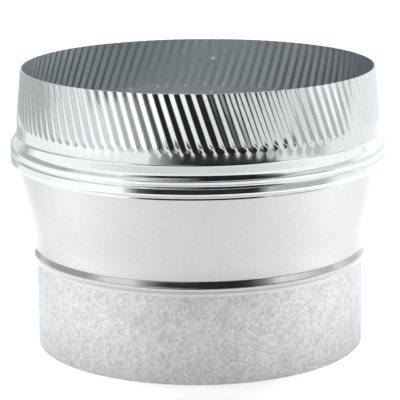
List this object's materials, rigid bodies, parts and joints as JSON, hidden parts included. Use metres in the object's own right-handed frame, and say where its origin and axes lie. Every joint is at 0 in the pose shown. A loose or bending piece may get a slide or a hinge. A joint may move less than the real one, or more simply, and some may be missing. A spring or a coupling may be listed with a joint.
{
  "type": "duct taper increaser",
  "caption": "Galvanised sheet-steel taper increaser for round duct: a plain small end, a beaded cone and a large end crimped with slanted flutes to slip into the next pipe.",
  "frame": {"origin": "centre of the small mouth, in the plane of its edge", "axes": "+Z along the duct axis from the small end to the crimped large end; +Y towards the lap seams at the back"},
  "size_m": [0.2052, 0.2052, 0.1524],
  "materials": {
    "collar_sheet": "galvanised, fine matt spangle",
    "cone_sheet": "galvanised, smooth and bright",
    "crimped_sheet": "galvanised, smooth and bright"
  },
  "bodies": {
    "root": {"plain_collar": "collar_sheet", "taper_cone": "cone_sheet", "crimped_collar": "crimped_sheet"}
  },
  "joints": []
}
